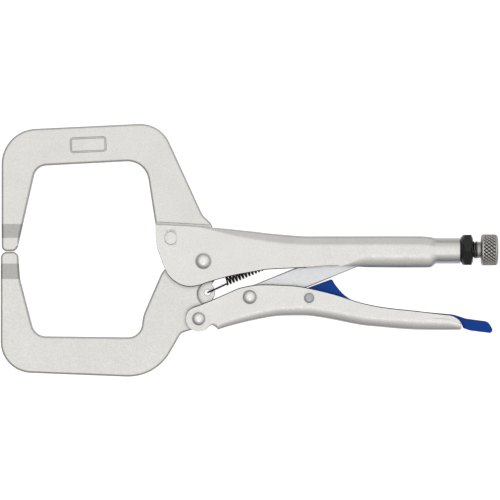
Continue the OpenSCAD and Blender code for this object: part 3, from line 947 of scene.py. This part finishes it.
def make_nut():
    far = NUT_R + 1.5
    outer = [(0, 6.6), (0.05, 6.8), (0.75, 7.65), (1.5, NUT_R), (2.1, NUT_R + 0.7), (2.8, far)]
    outer += [(x, far) for x in spaced(2.9, NUT_T - 1.5, 0.4)]
    outer += [(NUT_T - 1.5, far), (NUT_T - 1.1, NUT_R + 0.7), (NUT_T - 0.7, NUT_R), (NUT_T - 0.05, 7.0),
              (NUT_T, 6.8)]
    fine = []
    for a, b in zip(outer, outer[1:]):
        parts = max(1, math.ceil(math.hypot(b[0] - a[0], b[1] - a[1]) / 0.15))
        fine += [(a[0] + (b[0] - a[0]) * i / parts, a[1] + (b[1] - a[1]) * i / parts) for i in range(parts)]
    bore = THREAD_R + 0.05
    rows = [(NUT_X, bore + 0.5)] + [(NUT_X + x, r) for x, r in fine + [outer[-1]]]
    rows += [(NUT_X + NUT_T, bore + 0.5), (NUT_X + NUT_T - 0.5, bore), (NUT_X + 0.5, bore)]
    shape = Shape()
    rings = turned_rings(shape, rows, (SCREW_Y, 0), True, 240, hexagon)
    shape.skin(rings + rings[:1])
    add_piece(shape, "lock_nut_hex", "lock_nut", "nut_body", nut_metal)


# ---------------------------------------------------------------- spring

WIRE_R = 0.5
COIL_R = 2.5
ANCHOR = Vector((57.2, 5.0))
SPRING_AXIS = (ANCHOR - EYE).normalized()
SPRING_SIDE = Vector((-SPRING_AXIS.y, SPRING_AXIS.x))
SPRING_LEN = (ANCHOR - EYE).length
COIL_OFFSET = 2.2
COIL_START = 12
COIL_END = SPRING_LEN - 9
COIL_TURNS = 20
COIL_PHASE = 135


def on_spring(along, side, z):
    p = EYE + SPRING_AXIS * along + SPRING_SIDE * side
    return Vector((p.x, p.y, z))


def spring_path():
    # (distance from the hook's end, z)
    hook = [(0.6, -2.6), (0.3, -1), (0.3, 1.2), (1.1, 2.1), (2.6, 2.3)]
    front = [on_spring(a, 0, z) for a, z in hook] + [on_spring(COIL_START - 2, 0.3, 2)]
    back = [on_spring(COIL_END + 2, 0.3, 2)] + [on_spring(SPRING_LEN - a, 0, z) for a, z in reversed(hook)]
    steps = 20
    coil = []
    for i in range(COIL_TURNS * steps + 1):
        turns = i / steps
        swing = direction(COIL_PHASE + 360 * turns) * COIL_R
        coil.append(on_spring(COIL_START + (COIL_END - COIL_START) * turns / COIL_TURNS,
                              COIL_OFFSET + swing.x, swing.y))
    return smooth_ends(front + coil[:1]) + coil[1:-1] + smooth_ends(coil[-1:] + back)


def smooth_ends(points):
    """A smooth run through a few points, with more points between them."""
    run = []
    for i in range(len(points) - 1):
        a, b = points[max(i - 1, 0)], points[i]
        c, d = points[i + 1], points[min(i + 2, len(points) - 1)]
        for k in range(5):
            t = k / 5
            run.append(0.5 * (2 * b + (c - a) * t + (2 * a - 5 * b + 4 * c - d) * t**2
                              + (3 * b - a - 3 * c + d) * t**3))
    return run + [points[-1]]


def make_spring():
    path = spring_path()
    sides = 10
    shape = Shape()
    rings = []
    across = Vector((0, 0.3, 1))
    for i, p in enumerate(path):
        heading = (path[min(i + 1, len(path) - 1)] - path[max(i - 1, 0)]).normalized()
        across = (across - heading * across.dot(heading)).normalized()
        other = heading.cross(across)
        rings.append(shape.ring([p + WIRE_R * (across * math.cos(2 * math.pi * j / sides)
                                               + other * math.sin(2 * math.pi * j / sides))
                                 for j in range(sides)]))
    shape.skin(rings)
    shape.fan(rings[0], path[0])
    shape.fan(rings[-1], path[-1])
    thing = add_piece(shape, "extension_spring_wire", "extension_spring", "upper_body",
                      spring_metal)
    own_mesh(thing)


make_fixed_jaw()
make_moving_jaw()
make_upper_handle()
make_lower_handle()
make_link()
make_lever()
for rivet in RIVETS:
    make_rivet(*rivet)
make_flush_rivet()
make_screw()
make_nut()
make_spring()


# ---------------------------------------------------------------- floor, lights and camera

# The camera's view in metres, and its centre and height in millimetres
VIEW_WIDTH = 0.2811
VIEW_DISTANCE = 3.0
VIEW_CENTRE = (26.25, 6.24)
VIEW_HEIGHT = 6.0


def make_floor():
    shape = Shape()
    size = 900
    corners = [(-size, -size), (size, -size), (size, size), (-size, size)]
    shape.bm.faces.new(shape.ring([(x, y, -PIVOT.z / MM) for x, y in corners]))
    floor = add_object("floor", shape.mesh("floor"))
    material = bpy.data.materials.new("pale_floor")
    material.use_nodes = True
    surface = material.node_tree.nodes["Principled BSDF"]
    surface.inputs["Base Color"].default_value = (0.86, 0.86, 0.86, 1)
    surface.inputs["Roughness"].default_value = 0.9
    surface.inputs["Specular IOR Level"].default_value = 0.1
    surface.inputs["Emission Color"].default_value = (1, 1, 1, 1)
    surface.inputs["Emission Strength"].default_value = 0.75
    floor.data.materials.append(material)
    floor.visible_glossy = False


# The studio walls' light, how much more there is to the right and on the far side, and the share of it
# that is left at the horizon
WALL_LIGHT = 0.62
MORE_RIGHT = 0.12
MORE_FAR = 0.15
HORIZON_SHARE = 0.42
# What the ceiling and the ground give
CEILING_LIGHT = 1.0
GROUND_LIGHT = 0.35


def make_world():
    """A white studio: a bright ceiling, dimmer walls, lighter to the right and far side, and a pale ground."""
    world = bpy.data.worlds.new("studio")
    bpy.context.scene.world = world
    world.use_nodes = True
    tree = world.node_tree
    background = tree.nodes["Background"]
    place = tree.nodes.new("ShaderNodeTexCoord").outputs["Generated"]
    parts = tree.nodes.new("ShaderNodeSeparateXYZ")
    tree.links.new(place, parts.inputs["Vector"])
    across = ramp(tree, parts.outputs["X"], -1, 1, WALL_LIGHT - MORE_RIGHT, WALL_LIGHT + MORE_RIGHT)
    walls = combine(tree, "ADD", across, ramp(tree, parts.outputs["Y"], -1, 1, -MORE_FAR, MORE_FAR))
    dim = ramp(tree, parts.outputs["Z"], 0.0, 0.5, HORIZON_SHARE, 1.0)
    walls = combine(tree, "MULTIPLY", walls, dim)
    ceiling = ramp(tree, parts.outputs["Z"], 0.60, 0.97, 0.0, CEILING_LIGHT)
    ground = ramp(tree, parts.outputs["Z"], -0.05, -0.55, 0.0, GROUND_LIGHT)
    share = combine(tree, "SUBTRACT", 1.0, ceiling)
    above = combine(tree, "ADD", combine(tree, "MULTIPLY", walls, share), ceiling)
    level = combine(tree, "ADD", above, ground)
    tree.links.new(level, background.inputs["Strength"])
    background.inputs["Color"].default_value = (1.0, 1.0, 1.0, 1)


def make_light(name, place, size, power):
    data = bpy.data.lights.new(name, "AREA")
    data.shape = "DISK"
    data.size = size
    data.energy = power
    lamp = bpy.data.objects.new(name, data)
    bpy.context.scene.collection.objects.link(lamp)
    lamp.location = place
    lamp.rotation_euler = (-Vector(place)).to_track_quat("-Z", "Y").to_euler()
    lamp.visible_camera = False


def make_camera():
    data = bpy.data.cameras.new("camera")
    camera = bpy.data.objects.new("camera", data)
    bpy.context.scene.collection.objects.link(camera)
    camera.location = at(*VIEW_CENTRE, VIEW_HEIGHT) + Vector((0, 0, VIEW_DISTANCE))
    data.sensor_width = 36
    data.lens = data.sensor_width * VIEW_DISTANCE / VIEW_WIDTH
    data.clip_end = 20
    bpy.context.scene.camera = camera


make_floor()
make_world()
make_light("key", (0.05, -0.62, 1.4), 0.25, 0.2)
make_camera()
bpy.context.scene.view_settings.view_transform = "Standard"
